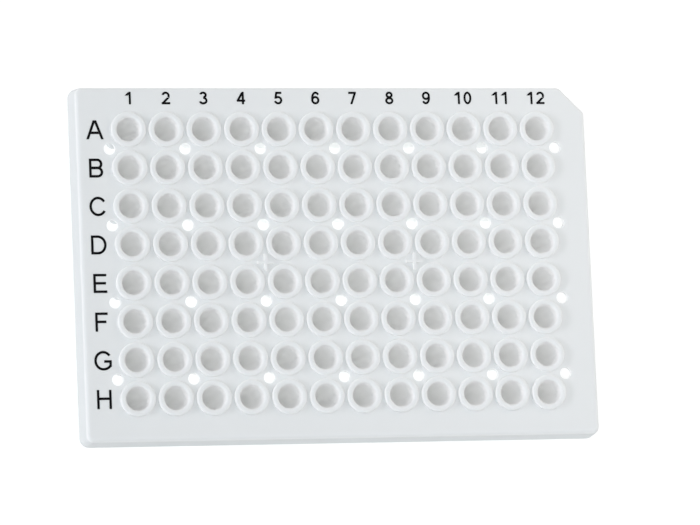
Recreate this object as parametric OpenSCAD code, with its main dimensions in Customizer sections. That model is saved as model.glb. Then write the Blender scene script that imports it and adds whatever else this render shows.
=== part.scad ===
// Well plate for small reaction volumes, moulded in one piece: a thin deck with a short
// drafted skirt, raised rims round the well mouths, and a field of tapered tubes below.
// The plate lies level. X runs along the numbered columns, Y across the lettered rows,
// and Z = 0 is the plane of the tubes' feet.

/* [Grid] */
// Wells along the plate
columns = 12; // [2:2:24]
// Wells across the plate
rows = 8; // [2:2:16]
// Distance between neighbouring wells
pitch = 9; // [8.6:0.1:12]

/* [Deck] */
// Thickness of the deck
deck_wall = 1.0; // [0.6:0.1:1.6]
// From the first column's centre to the end of the deck
end_margin = 12.2; // [8:0.05:20]
// From the first row's centre to the side of the deck
side_margin = 9.9; // [8:0.05:20]
// Radius of the deck's rounded top edge
edge_round = 1.0; // [0.2:0.1:1.4]
// Radius of the plate's corners at the deck, seen from above
corner_round = 1.6; // [1.5:0.1:4]
// Length cut off each side at the marker corner
corner_cut = 6.0; // [4:0.1:8]
// Diameter of the vent holes between the wells
vent_d = 2.7; // [1:0.1:3.2]

/* [Skirt] */
// Depth of the skirt below the deck's top face
skirt_depth = 6.2; // [3:0.1:12]
// How far the skirt's foot stands out past the deck
skirt_flare = 0.65; // [0:0.05:1.2]
// Thickness of the skirt
skirt_wall = 1.1; // [0.8:0.1:1.8]
// Radius of the hollow's corners inside the skirt, seen from above
hollow_round = 0.5; // [0.3:0.1:2]

/* [Rims] */
// Height of a rim above the deck
rim_height = 1.0; // [0.4:0.1:2]
// Outside diameter of a rim
rim_d = 8.3; // [8.05:0.05:8.5]
// Radius of a rim's outer edge
rim_round = 0.4; // [0.1:0.05:0.4]
// Radius of a rim's inner lip
lip_round = 0.65; // [0.05:0.05:0.65]

/* [Wells] */
// Inside diameter of a well's straight collar
collar_d = 5.56; // [5.2:0.02:6]
// Depth of the collar below the rim's top
collar_depth = 2.8; // [2.2:0.1:5]
// Diameter below the collar's step
throat_d = 5.34; // [4.4:0.02:5.6]
// Depth where the cone starts
cone_start = 9.0; // [6:0.1:12]
// Diameter where the cone starts
cone_d = 4.9; // [4:0.02:5.2]
// Depth where the round bottom starts
cone_end = 18.8; // [13:0.1:24]
// Diameter of the round bottom
tip_d = 2.4; // [1.6:0.02:3]
// Wall of the collar under the deck
collar_wall = 0.65; // [0.4:0.05:0.9]
// Wall of the tapered tube
tube_wall = 0.42; // [0.25:0.01:0.8]
// Diameter of the flat foot under each tube
foot_d = 1.2; // [0.4:0.1:1.6]

/* [Marks] */
// Length of an arm of a raised cross, from its centre
mark_arm = 2.0; // [0.8:0.1:2.2]
// Width of a raised cross's arms
mark_w = 0.66; // [0.3:0.02:1]
// Height of a raised cross
mark_height = 1.0; // [0.2:0.1:1.6]
// Wells between the plate's middle and each raised cross
mark_step = 2; // [1:1:4]

/* [Hidden] */
$fn = 64;
plastic = [0.93, 0.94, 0.94];
step_drop = 0.25;
clear = 1;
corner_steps = 32;
edge_steps = 5;
lip_steps = 4;
tip_steps = 4;
tip_r = tip_d / 2 + tube_wall;
foot_r = foot_d / 2;
plate_height = cone_end + sqrt(tip_r * tip_r - foot_r * foot_r);
deck_top = plate_height - rim_height;
deck_under = deck_top - deck_wall;
deck_middle = deck_top - deck_wall / 2;
skirt_foot = deck_top - skirt_depth;
half_x = (columns - 1) * pitch / 2 + end_margin;
half_y = (rows - 1) * pitch / 2 + side_margin;

// A rim's outer edge and inner lip each take no more than a share of its wall
edge_share = 0.3;
lip_share = 0.5;
rim_wall = (rim_d - collar_d) / 2;
rim_edge = min(rim_round, rim_wall * edge_share);
rim_lip = min(lip_round, rim_wall * lip_share);

// Points of an arc round a centre, from angle a to angle b
function arc(x, y, r, a, b, steps) =
    [for (i = [0:steps]) let (t = a + (b - a) * i / steps) [x + r * cos(t), y + r * sin(t)]];

// Height above the feet at a depth below the rims' tops
function level(depth) = plate_height - depth;

// Corners of the deck's outline moved in by a distance, with the marker corner cut off
function corners(inset) =
    let (x = half_x - inset, y = half_y - inset, cut = corner_cut - inset * (2 - sqrt(2)))
    [[x, -y], [x, y - cut], [x - cut, y], [-x, y], [-x, -y]];

// Place of a well's axis, counted from the lettered and numbered corner
function well_place(column, row) =
    [(column - (columns - 1) / 2) * pitch, ((rows - 1) / 2 - row) * pitch, 0];

// Place of a crossing of the lanes between the wells, counted from the plate's middle
function crossing(across, along) = [across * pitch, along * pitch, 0];

// Outer form of deck and skirt in one: rounded top edge and drafted sides
module plate_form() {
    draft = atan(skirt_flare / skirt_depth);
    arc_s = corner_round - edge_round * (1 - sin(draft)) / cos(draft);
    hull()
        for (corner = corners(corner_round))
            translate(corner)
                rotate_extrude($fn = corner_steps)
                    polygon(concat(
                        [[0, skirt_foot], [corner_round + skirt_flare, skirt_foot]],
                        arc(arc_s, deck_top - edge_round, edge_round, draft, 90, edge_steps),
                        [[0, deck_top]]
                    ));
}

// Hollow inside the skirt, open below, with the same draft as the outside
module skirt_hollow() {
    slope = skirt_flare / skirt_depth;
    hull()
        for (corner = corners(skirt_wall + hollow_round))
            translate([corner.x, corner.y, skirt_foot - clear])
                cylinder(
                    h = skirt_depth - deck_wall + clear,
                    r1 = hollow_round + slope * (skirt_depth + clear),
                    r2 = hollow_round + slope * deck_wall,
                    $fn = corner_steps
                );
}

// Section of one well's wall, from the axis at its foot up to the rim and down inside
function well_section() = concat(
    [[0, 0], [foot_r, 0]],
    arc(0, level(cone_end), tip_r, -acos(foot_r / tip_r), 0, tip_steps),
    [
        [cone_d / 2 + tube_wall, level(cone_start)],
        [collar_d / 2 + collar_wall, level(collar_depth)],
        [collar_d / 2 + collar_wall, deck_middle],
        [rim_d / 2, deck_middle]
    ],
    arc(rim_d / 2 - rim_edge, plate_height - rim_edge, rim_edge, 0, 90, lip_steps),
    arc(collar_d / 2 + rim_lip, plate_height - rim_lip, rim_lip, 90, 180, lip_steps),
    [
        [collar_d / 2, level(collar_depth)],
        [throat_d / 2, level(collar_depth + step_drop)],
        [cone_d / 2, level(cone_start)]
    ],
    arc(0, level(cone_end), tip_d / 2, 0, -90, tip_steps)
);

// Every well, each one closed tube that ends in a raised rim
module wells() {
    for (column = [0:columns - 1], row = [0:rows - 1])
        translate(well_place(column, row))
            rotate_extrude()
                polygon(well_section());
}

// Openings through the deck for the wells
module well_openings() {
    for (column = [0:columns - 1], row = [0:rows - 1])
        translate(well_place(column, row) + [0, 0, deck_under - clear])
            cylinder(h = deck_wall + 2 * clear, d = collar_d + collar_wall);
}

// Vent holes at every second crossing, out to the lanes beyond the end columns
module vents() {
    for (across = [-columns / 2:2:columns / 2], along = [1 - rows / 2:2:rows / 2 - 1])
        translate(crossing(across, along) + [0, 0, deck_under - clear])
            cylinder(h = deck_wall + 2 * clear, d = vent_d);
}

// Two raised crosses on the middle lane
module crosses() {
    for (side = [-1, 1], turn = [0, 90])
        translate(crossing(side * mark_step, 0) + [0, 0, deck_middle])
            rotate(turn)
                translate([-mark_arm, -mark_w / 2, 0])
                    cube([2 * mark_arm, mark_w, deck_wall / 2 + mark_height]);
}

module well_plate() {
    color(plastic) {
        difference() {
            plate_form();
            skirt_hollow();
            well_openings();
            vents();
        }
        wells();
        crosses();
    }
}

well_plate();
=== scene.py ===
import math

import bpy
from mathutils import Euler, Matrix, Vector


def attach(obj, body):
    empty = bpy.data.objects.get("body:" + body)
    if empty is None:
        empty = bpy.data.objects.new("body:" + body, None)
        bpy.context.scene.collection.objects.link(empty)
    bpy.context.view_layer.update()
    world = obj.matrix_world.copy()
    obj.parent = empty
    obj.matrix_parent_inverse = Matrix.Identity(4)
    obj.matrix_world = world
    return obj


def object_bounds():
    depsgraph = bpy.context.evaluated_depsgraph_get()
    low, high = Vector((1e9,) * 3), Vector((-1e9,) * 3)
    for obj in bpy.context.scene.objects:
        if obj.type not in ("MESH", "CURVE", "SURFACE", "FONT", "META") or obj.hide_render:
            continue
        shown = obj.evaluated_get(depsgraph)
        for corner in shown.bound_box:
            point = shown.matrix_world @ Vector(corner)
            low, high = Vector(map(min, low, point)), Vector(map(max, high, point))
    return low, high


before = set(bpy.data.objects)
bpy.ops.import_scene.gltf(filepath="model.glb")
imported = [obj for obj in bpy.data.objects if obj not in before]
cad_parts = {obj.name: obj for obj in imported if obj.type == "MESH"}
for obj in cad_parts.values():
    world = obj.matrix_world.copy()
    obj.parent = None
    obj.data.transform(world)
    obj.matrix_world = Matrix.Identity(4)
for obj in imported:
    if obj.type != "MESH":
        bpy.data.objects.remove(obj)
cad_low, cad_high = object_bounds()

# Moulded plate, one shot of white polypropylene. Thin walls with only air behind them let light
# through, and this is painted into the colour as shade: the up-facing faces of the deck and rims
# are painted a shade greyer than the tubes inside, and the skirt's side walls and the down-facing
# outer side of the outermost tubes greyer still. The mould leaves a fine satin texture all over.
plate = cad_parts["well_plate"]
ROWS = "ABCDEFGH"
COLUMNS = 12
PITCH = 0.009
END_COLUMN_X = (COLUMNS - 1) / 2 * PITCH
END_ROW_Y = (len(ROWS) - 1) / 2 * PITCH
RIM_HEIGHT = 0.001
DECK_TOP = cad_high.z - RIM_HEIGHT
DECK_BAND = 0.0003
SKIRT_ZONE = 0.005
UNDER_SLOPE = -0.02
BODY_COLOUR = (0.974, 0.974, 0.972, 1.0)
# Painted shade: a greyer tone laid on the up-facing faces of the deck and rims, which are the same
# white plastic.
DECK_PAINTED_SHADE = (0.84, 0.86, 0.866, 1.0)
# Painted shade: a greyer tone still, laid on the skirt's side walls and the outermost tubes'
# down-facing outer side.
WALL_PAINTED_SHADE = (0.64, 0.66, 0.665, 1.0)
PLASTIC_IOR = 1.49
PLASTIC_GLOSS = 0.3
SCATTER_DEPTH = 0.0004
FLOW_SCALE = 60.0
FLOW_DETAIL = 3.0
FLOW_MARKS = 0.012
SATIN_SCALE = 7000.0
SATIN_DETAIL = 2.0
SATIN_RELIEF = 0.000002
SATIN_ROUGHNESS = (0.42, 0.56)
plastic = bpy.data.materials.new("white_polypropylene")
plastic.use_nodes = True
tree = plastic.node_tree
surface = tree.nodes["Principled BSDF"]
surface.inputs["IOR"].default_value = PLASTIC_IOR
surface.inputs["Specular IOR Level"].default_value = PLASTIC_GLOSS
surface.inputs["Subsurface Weight"].default_value = 1.0
surface.inputs["Subsurface Radius"].default_value = (1.0, 1.0, 1.0)
surface.inputs["Subsurface Scale"].default_value = SCATTER_DEPTH


def node(tree, kind, **settings):
    """A new node of a material, with its settings."""
    new = tree.nodes.new(kind)
    for name, value in settings.items():
        setattr(new, name, value)
    return new


def feed(tree, socket, value):
    """Gives a socket its value: another node's output, or else a number or a colour."""
    if isinstance(value, bpy.types.NodeSocket):
        tree.links.new(value, socket)
    else:
        socket.default_value = value


def math_node(tree, operation, first, second):
    """The result of a sum on two values."""
    new = node(tree, "ShaderNodeMath", operation=operation)
    feed(tree, new.inputs[0], first)
    feed(tree, new.inputs[1], second)
    return new.outputs[0]


def laid_over(tree, base, colour, share):
    """A base colour with another laid over it, by a share from 0 to 1."""
    new = node(tree, "ShaderNodeMix", data_type="RGBA")
    feed(tree, new.inputs["Factor"], share)
    feed(tree, new.inputs["A"], base)
    feed(tree, new.inputs["B"], colour)
    return new.outputs["Result"]


def noise(tree, place, scale, detail):
    """Noise on the piece's own coordinates, with its scale in waves a metre."""
    new = node(tree, "ShaderNodeTexNoise")
    new.inputs["Scale"].default_value = scale
    new.inputs["Detail"].default_value = detail
    tree.links.new(place, new.inputs["Vector"])
    return new.outputs["Fac"]


def ramp(tree, value, low, high):
    """A value from 0 to 1, stretched so that it runs from low to high."""
    new = node(tree, "ShaderNodeMapRange")
    new.inputs["To Min"].default_value = low
    new.inputs["To Max"].default_value = high
    tree.links.new(value, new.inputs["Value"])
    return new.outputs[0]


def beyond(tree, at, end, side):
    """1 where a point lies past these distances from the plate's middle, and else 0."""
    masks = []
    for axis, limit in (("X", end), ("Y", side)):
        distance = math_node(tree, "ABSOLUTE", at.outputs[axis], 0.0)
        masks.append(math_node(tree, "GREATER_THAN", distance, limit))
    return math_node(tree, "MAXIMUM", *masks)


place = node(tree, "ShaderNodeTexCoord").outputs["Object"]
at = node(tree, "ShaderNodeSeparateXYZ")
tree.links.new(place, at.inputs[0])
facing = node(tree, "ShaderNodeSeparateXYZ")
tree.links.new(node(tree, "ShaderNodeNewGeometry").outputs["Normal"], facing.inputs[0])
level = math_node(tree, "MAXIMUM", facing.outputs["Z"], 0.0)
# Painted shade mask: up-facing faces at the deck's top and above.
upper = math_node(tree, "GREATER_THAN", at.outputs["Z"], DECK_TOP - DECK_BAND)
painted_top_shade = math_node(tree, "MULTIPLY", upper, level)
# Painted shade mask: side walls near the plate's edge, and down-facing faces on the outer halves of
# the outermost tubes.
edge_wall = beyond(tree, at, cad_high.x - SKIRT_ZONE, cad_high.y - SKIRT_ZONE)
skirt = math_node(tree, "MULTIPLY", edge_wall, math_node(tree, "SUBTRACT", 1.0, level))
under = math_node(tree, "LESS_THAN", facing.outputs["Z"], UNDER_SLOPE)
outer_tubes = math_node(tree, "MULTIPLY", beyond(tree, at, END_COLUMN_X, END_ROW_Y), under)
painted_outside_shade = math_node(tree, "MAXIMUM", skirt, outer_tubes)
tone_with_painted_shade = laid_over(tree, BODY_COLOUR, DECK_PAINTED_SHADE, painted_top_shade)
tone_with_painted_shade = laid_over(tree, tone_with_painted_shade, WALL_PAINTED_SHADE, painted_outside_shade)
clouding = ramp(tree, noise(tree, place, FLOW_SCALE, FLOW_DETAIL), 1.0 - FLOW_MARKS, 1.0)
shade = node(tree, "ShaderNodeVectorMath", operation="SCALE")
tree.links.new(tone_with_painted_shade, shade.inputs[0])
tree.links.new(clouding, shade.inputs["Scale"])
tree.links.new(shade.outputs[0], surface.inputs["Base Color"])
satin = noise(tree, place, SATIN_SCALE, SATIN_DETAIL)
tree.links.new(ramp(tree, satin, *SATIN_ROUGHNESS), surface.inputs["Roughness"])
texture = node(tree, "ShaderNodeBump")
texture.inputs["Distance"].default_value = SATIN_RELIEF
tree.links.new(satin, texture.inputs["Height"])
tree.links.new(texture.outputs[0], surface.inputs["Normal"])
plate.data.materials.clear()
plate.data.materials.append(plastic)

# Printed signs. Black ink, pad printed on the flat margins of the deck: a letter beside each row
# and a number above each column. Every sign is drawn in plain strokes from its lower left corner,
# with its cap height as 1, and is a thin film of ink that dries just proud of the plastic.
INK_THICKNESS = 0.00002
INK_BED = DECK_TOP - INK_THICKNESS / 4
LETTER_HEIGHT = 0.00445
LETTER_STROKE = 0.131
LETTER_X = -0.05735
NUMBER_HEIGHT = 0.00296
NUMBER_STROKE = 0.17
NUMBER_Y = 0.03897
NUMBER_SHIFT = 0.00027
DIGIT_ADVANCE = 0.795
OVERSHOOT = 0.012
INK_COLOUR = (0.004, 0.004, 0.005, 1.0)
INK_GLOSS = 0.06
INK_ROUGHNESS = (0.4, 0.6)
GRAIN_SCALE = 9000.0
GRAIN_DETAIL = 2.0
GRAIN_RELIEF = 0.000003


def bar(x0, y0, x1, y1, stroke):
    """A straight stroke along its middle line. A sloping one is cut level at its ends."""
    half = stroke / 2
    if y0 == y1:
        return [[(x0, y0 - half), (x0, y0 + half)], [(x1, y0 - half), (x1, y0 + half)]]
    half *= math.hypot(x1 - x0, y1 - y0) / abs(y1 - y0)
    return [[(x0 - half, y0), (x0 + half, y0)], [(x1 - half, y1), (x1 + half, y1)]]


def bow(x, y, wide, tall, start, end, stroke, steps=32):
    """A round stroke inside an ellipse, from one angle to another."""
    turns = [math.radians(start + (end - start) * i / steps) for i in range(steps + 1)]
    return [
        [(x + r * math.cos(t), y + (r - wide + tall) * math.sin(t)) for r in (wide - stroke, wide)]
        for t in turns
    ]


def lobe(x0, turn_x, x1, low, high, stroke):
    """Two level strokes joined by half a ring, as on the right of a B or a D."""
    turn = bow(turn_x, (low + high) / 2, x1 - turn_x, (high - low) / 2, -90, 90, stroke)
    return [[(x0, low + stroke), (x0, low)], *turn, [(x0, high - stroke), (x0, high)]]


def letter_shapes(stroke):
    """The strokes of the letters A to H."""
    edge = stroke / 2
    top = 1 - edge
    tall = 0.5 + OVERSHOOT
    stem = bar(edge, 0, edge, 1, stroke)
    return {
        "A": [
            bar(0.056, 0, 0.43, 1, stroke),
            bar(0.844, 0, 0.47, 1, stroke),
            bar(0.18, 0.34, 0.72, 0.34, stroke),
        ],
        "B": [
            stem,
            lobe(edge, 0.44, 0.71, 0.57 - stroke, 1, stroke),
            lobe(edge, 0.44, 0.74, 0, 0.58, stroke),
        ],
        "C": [bow(0.46, 0.5, 0.46, tall, 34, 328, stroke)],
        "D": [stem, lobe(edge, 0.36, 0.82, 0, 1, stroke)],
        "E": [
            stem,
            bar(edge, top, 0.695, top, stroke),
            bar(edge, 0.51, 0.665, 0.51, stroke),
            bar(edge, edge, 0.72, edge, stroke),
        ],
        "F": [stem, bar(edge, top, 0.665, top, stroke), bar(edge, 0.51, 0.585, 0.51, stroke)],
        "G": [
            bow(0.475, 0.5, 0.475, tall, 36, 270, stroke)
            + bow(0.475, 0.5, 0.53, tall, 270, 326, stroke)[1:],
            bar(0.855, 0.18, 0.855, 0.46, stroke),
            bar(0.52, 0.46, 0.855 + edge, 0.46, stroke),
        ],
        "H": [
            stem,
            bar(0.775 - edge, 0, 0.775 - edge, 1, stroke),
            bar(edge, 0.54, 0.775 - edge, 0.54, stroke),
        ],
    }


def digit_shapes(stroke):
    """The strokes of the digits, each in a cell of the same width."""
    edge = stroke / 2
    top = 1 - edge
    tall = 0.5 + OVERSHOOT
    six = [
        bow(0.34, 0.325, 0.33, 0.337, 0, 360, stroke),
        bow(0.37, 0.5, 0.36, tall, 38, 200, stroke),
    ]
    return {
        "0": [bow(0.335, 0.5, 0.325, tall, 0, 360, stroke)],
        "1": [bar(0.413, 0, 0.413, 1, stroke), bar(0.123, 0.70, 0.383, 0.95, stroke)],
        "2": [
            bow(0.35, 0.69, 0.33, 0.322, -32, 165, stroke),
            bar(0.10, edge, 0.56, 0.54, stroke),
            bar(0.02, edge, 0.70, edge, stroke),
        ],
        "3": [
            bow(0.345, 0.745, 0.30, 0.267, -80, 165, stroke),
            bow(0.345, 0.295, 0.345, 0.307, -165, 90, stroke),
        ],
        "4": [
            bar(0.50, 0, 0.50, 1, stroke),
            bar(0, 0.29, 0.68, 0.29, stroke),
            bar(0.075, 0.29, 0.47, 0.95, stroke),
        ],
        "5": [
            bar(0.12, top, 0.61, top, stroke),
            bar(0.115, 0.45, 0.185, top, stroke),
            bow(0.32, 0.325, 0.34, 0.337, -165, 130, stroke),
        ],
        "6": six,
        "7": [bar(0.02, top, 0.65, top, stroke), bar(0.24, 0, 0.57, top, stroke)],
        "8": [
            bow(0.335, 0.745, 0.29, 0.267, 0, 360, stroke),
            bow(0.335, 0.28, 0.335, 0.292, 0, 360, stroke),
        ],
        "9": [[[(0.67 - x, 1 - y) for x, y in cut] for cut in path] for path in six],
    }


def sign(text, shapes, height, middle_x, middle_y):
    """The strokes of a word on the deck, in metres, round the word's middle."""
    paths = [
        [[(x + order * DIGIT_ADVANCE, y) for x, y in cut] for cut in path]
        for order, mark in enumerate(text)
        for path in shapes[mark]
    ]
    across = [x for path in paths for cut in path for x, y in cut]
    centre = (min(across) + max(across)) / 2
    return [
        [
            [(middle_x + (x - centre) * height, middle_y + (y - 0.5) * height) for x, y in cut]
            for cut in path
        ]
        for path in paths
    ]


def print_signs(name, paths):
    """One piece of ink: each stroke a strip, thickened, and joined where strokes cross."""
    points, faces = [], []
    for path in paths:
        for cut in path:
            points += [(x, y, INK_BED) for x, y in cut]
        last = len(points)
        faces += [(i, i + 1, i + 3, i + 2) for i in range(last - 2 * len(path), last - 2, 2)]
    bpy.ops.object.select_all(action="DESELECT")
    bpy.ops.mesh.primitive_plane_add()
    ink = bpy.context.object
    ink.name = name
    ink.data.clear_geometry()
    ink.data.from_pydata(points, [], faces)
    for strip in ink.data.polygons:
        if strip.normal.z < 0:
            strip.flip()
    thicken = ink.modifiers.new("thicken", "SOLIDIFY")
    thicken.thickness = INK_THICKNESS
    thicken.offset = 1.0
    bpy.ops.object.modifier_apply(modifier="thicken")
    bpy.ops.object.mode_set(mode="EDIT")
    bpy.ops.mesh.select_all(action="SELECT")
    bpy.ops.mesh.intersect_boolean(operation="UNION", use_self=True, solver="EXACT")
    bpy.ops.mesh.select_all(action="SELECT")
    bpy.ops.mesh.normals_make_consistent(inside=False)
    bpy.ops.object.mode_set(mode="OBJECT")
    ink.data.materials.append(black_ink)
    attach(ink, "root")


black_ink = bpy.data.materials.new("black_ink")
black_ink.use_nodes = True
tree = black_ink.node_tree
surface = tree.nodes["Principled BSDF"]
surface.inputs["Base Color"].default_value = INK_COLOUR
surface.inputs["Specular IOR Level"].default_value = INK_GLOSS
place = node(tree, "ShaderNodeTexCoord").outputs["Object"]
grain = noise(tree, place, GRAIN_SCALE, GRAIN_DETAIL)
tree.links.new(ramp(tree, grain, *INK_ROUGHNESS), surface.inputs["Roughness"])
relief = node(tree, "ShaderNodeBump")
relief.inputs["Distance"].default_value = GRAIN_RELIEF
tree.links.new(grain, relief.inputs["Height"])
tree.links.new(relief.outputs[0], surface.inputs["Normal"])

letters = letter_shapes(LETTER_STROKE)
letter_paths = []
for row, letter in enumerate(ROWS):
    letter_paths += sign(letter, letters, LETTER_HEIGHT, LETTER_X, END_ROW_Y - row * PITCH)
print_signs("printed_letters", letter_paths)

digits = digit_shapes(NUMBER_STROKE)
number_paths = []
for column in range(COLUMNS):
    middle_x = column * PITCH - END_COLUMN_X + NUMBER_SHIFT
    number_paths += sign(str(column + 1), digits, NUMBER_HEIGHT, middle_x, NUMBER_Y)
print_signs("printed_numbers", number_paths)

# Floor. A plain pale bench top, which isn't part of the object. It shows almost white, as a lit
# studio sweep does, keeps a faint shadow of the plate, and lights the tubes a little from below.
FLOOR_SIZE = 6.0
FLOOR_GLOW = 0.6
BENCH_COLOUR = (0.9, 0.9, 0.9, 1.0)
BENCH_LIGHT = (0.938, 0.995, 1.0, 1.0)
BENCH_STRENGTH = 0.387


def shown_white(tree, share):
    """The share of white that a ray meets if it comes straight from the eye or off gloss."""
    rays = node(tree, "ShaderNodeLightPath")
    seen = math_node(tree, "MAXIMUM", rays.outputs["Is Camera Ray"], rays.outputs["Is Glossy Ray"])
    seen = math_node(tree, "MAXIMUM", seen, rays.outputs["Is Transmission Ray"])
    return math_node(tree, "MULTIPLY", seen, share)


bpy.ops.object.select_all(action="DESELECT")
bpy.ops.mesh.primitive_plane_add(size=FLOOR_SIZE, location=(0, 0, 0))
floor = bpy.context.object
floor.name = "floor"
bench = bpy.data.materials.new("pale_bench")
bench.use_nodes = True
tree = bench.node_tree
bench_surface = tree.nodes["Principled BSDF"]
bench_surface.inputs["Base Color"].default_value = BENCH_COLOUR
bench_surface.inputs["Emission Color"].default_value = BENCH_LIGHT
bench_surface.inputs["Emission Strength"].default_value = BENCH_STRENGTH
glow = node(tree, "ShaderNodeEmission")
blend = node(tree, "ShaderNodeMixShader")
tree.links.new(shown_white(tree, FLOOR_GLOW), blend.inputs[0])
tree.links.new(bench_surface.outputs[0], blend.inputs[1])
tree.links.new(glow.outputs[0], blend.inputs[2])
tree.links.new(blend.outputs[0], tree.nodes["Material Output"].inputs["Surface"])
floor.data.materials.append(bench)

# Studio light. A pale surround, a high softbox that looks down into the wells, a cooler one lower
# down beside it, a long low one at the lettered end that models the rims, and two small ones close
# to the other end. Light passes from wall to wall many times in the wells, so the bounces are high.
SURROUND = 0.478
SURROUND_COLOUR = (0.962, 0.978, 1.0, 1.0)
WHITE = (1.0, 1.0, 1.0, 1.0)
MOST_BOUNCES = 40
DIFFUSE_BOUNCES = 32
scene = bpy.context.scene
scene.world = bpy.data.worlds.new("studio_surround")
scene.world.use_nodes = True
tree = scene.world.node_tree
surround = tree.nodes["Background"]
surround.inputs["Color"].default_value = SURROUND_COLOUR
surround.inputs["Strength"].default_value = SURROUND
backdrop = node(tree, "ShaderNodeBackground")
backdrop.inputs["Color"].default_value = WHITE
blend = node(tree, "ShaderNodeMixShader")
tree.links.new(shown_white(tree, 1.0), blend.inputs[0])
tree.links.new(surround.outputs[0], blend.inputs[1])
tree.links.new(backdrop.outputs[0], blend.inputs[2])
tree.links.new(blend.outputs[0], tree.nodes["World Output"].inputs["Surface"])
scene.cycles.max_bounces = MOST_BOUNCES
scene.cycles.diffuse_bounces = DIFFUSE_BOUNCES


def softbox(name, turn, rise, distance, wide, tall, power, colour):
    """A lamp that faces the plate, with its place given by two angles and a distance."""
    turn, rise = math.radians(turn), math.radians(rise)
    flat = math.cos(rise)
    place = Vector((math.cos(turn) * flat, math.sin(turn) * flat, math.sin(rise))) * distance
    bpy.ops.object.light_add(type="AREA", location=place)
    lamp = bpy.context.object
    lamp.name = name
    lamp.data.shape = "RECTANGLE"
    lamp.data.size = wide
    lamp.data.size_y = tall
    lamp.data.energy = power
    lamp.data.color = colour
    lamp.rotation_euler = (-place).to_track_quat("-Z", "Y").to_euler()


softbox("high_softbox", 209, 74, 3.0, 1.2, 1.2, 12.3, (1.0, 0.99, 0.954))
softbox("cool_softbox", 200, 50, 3.0, 1.2, 1.2, 8.94, (0.74, 0.91, 1.0))
softbox("low_strip", 180, 22, 3.0, 1.5, 0.45, 27.9, (0.975, 0.953, 1.0))
softbox("end_panel_row_a", 30, 35, 0.42, 0.3, 0.2, 0.333, (1.0, 0.934, 0.86))
softbox("end_panel_row_h", 335, 35, 0.45, 0.3, 0.2, 0.2, (1.0, 0.951, 0.979))

# Camera. It looks down on the deck from the side of row H and the lettered end, through a long
# lens, and its place is worked out from the deck's middle.
CAMERA_TURN = Euler([math.radians(a) for a in (8.076, -14.269, -2.512)])
CAMERA_AIM = Vector((0.0025, -0.00014, DECK_TOP))
CAMERA_DISTANCE = 1.1356
LENS = 249.08
SENSOR_WIDTH = 36.0
NEAREST = 0.01
FARTHEST = 20.0
bpy.ops.object.camera_add()
camera = bpy.context.object
camera.rotation_euler = CAMERA_TURN
camera.location = CAMERA_AIM + CAMERA_TURN.to_matrix() @ Vector((0, 0, CAMERA_DISTANCE))
camera.data.sensor_width = SENSOR_WIDTH
camera.data.lens = LENS
camera.data.clip_start = NEAREST
camera.data.clip_end = FARTHEST
scene.camera = camera
scene.view_settings.view_transform = "Standard"
